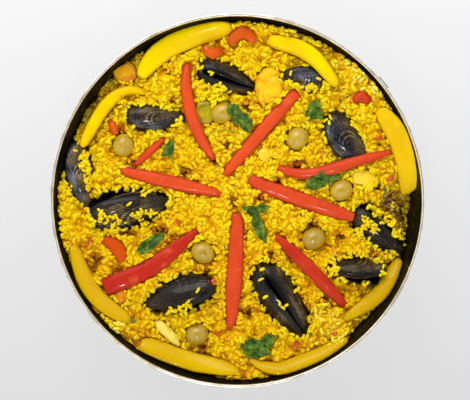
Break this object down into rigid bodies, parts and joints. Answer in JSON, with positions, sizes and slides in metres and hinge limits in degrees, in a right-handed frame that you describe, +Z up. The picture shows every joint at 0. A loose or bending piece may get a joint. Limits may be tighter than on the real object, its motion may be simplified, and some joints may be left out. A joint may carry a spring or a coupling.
{
  "type": "seafood paella in its pan",
  "caption": "Round non-stick pan filled with saffron rice and dressed with mussels in shells, green olives, red and yellow pepper strips, seafood pieces and herb leaves.",
  "frame": {"origin": "middle of the pan's foot, on the table", "axes": "+Z up out of the pan; +Y away from the cook, towards the mussel and red pepper bits at the top of the dish; +X to the cook's right, towards the squid tentacles"},
  "size_m": [0.32, 0.32, 0.062],
  "materials": {
    "nonstick_metal": "satin dark non-stick coating inside, brushed bare metal outside and on the bead",
    "bracket_metal": "satin dark",
    "saffron_rice": "moist cooked grains, saffron yellow",
    "mussel_shell": "blue-black, growth rings, brown wear at the pointed end",
    "olive_skin": "khaki green, glossy",
    "yellow_pepper": "glossy skin",
    "red_pepper": "glossy skin",
    "prawn_flesh": "moist, orange at the edge",
    "browned_seafood": "moist, browned",
    "pale_seafood": "moist",
    "green_pepper": "cooked, olive green",
    "dark_squid": "brown and violet, moist",
    "herb_leaf": "matt green with paler veins"
  },
  "bodies": {
    "root": {"pan": "nonstick_metal", "handle_bracket": "bracket_metal", "mussel_top": "mussel_shell", "mussel_upper_left": "mussel_shell", "mussel_left_wall": "mussel_shell", "mussel_left": "mussel_shell", "mussel_lower_left": "mussel_shell", "mussel_lower_right": "mussel_shell", "mussel_upper_right": "mussel_shell", "mussel_top_right": "mussel_shell", "mussel_right": "mussel_shell", "mussel_lower_right_wall": "mussel_shell", "olive_upper_left": "olive_skin", "olive_upper": "olive_skin", "olive_upper_right": "olive_skin", "olive_right": "olive_skin", "olive_lower_right": "olive_skin", "olive_lower": "olive_skin", "olive_bottom": "olive_skin", "seafood_upper_left": "browned_seafood", "seafood_right": "pale_seafood", "seafood_centre": "pale_seafood", "seafood_lower_left": "browned_seafood", "green_pepper_upper": "green_pepper", "green_pepper_left": "green_pepper", "prawn": "prawn_flesh", "squid_strip": "pale_seafood", "squid_tentacles": "dark_squid", "red_bit_left": "red_pepper", "red_bit_top": "red_pepper", "red_bit_top_left": "red_pepper", "red_bit_upper_right": "red_pepper", "red_bit_upper_left": "red_pepper", "red_bit_lower_left": "red_pepper", "yellow_top_left": "yellow_pepper", "yellow_left": "yellow_pepper", "yellow_top_right": "yellow_pepper", "yellow_right": "yellow_pepper", "yellow_lower_right": "yellow_pepper", "yellow_bottom_right": "yellow_pepper", "yellow_bottom_left": "yellow_pepper", "yellow_lower_left": "yellow_pepper", "red_upper_left": "red_pepper", "red_upper_right": "red_pepper", "red_right": "red_pepper", "red_centre_right": "red_pepper", "red_left": "red_pepper", "red_lower_right": "red_pepper", "red_bottom": "red_pepper", "red_lower_left": "red_pepper", "leaf_upper": "herb_leaf", "leaf_upper_right": "herb_leaf", "leaf_left": "herb_leaf", "leaf_right": "herb_leaf", "leaf_centre": "herb_leaf", "leaf_lower_left": "herb_leaf", "leaf_bottom": "herb_leaf", "rice": "saffron_rice"}
  },
  "joints": []
}
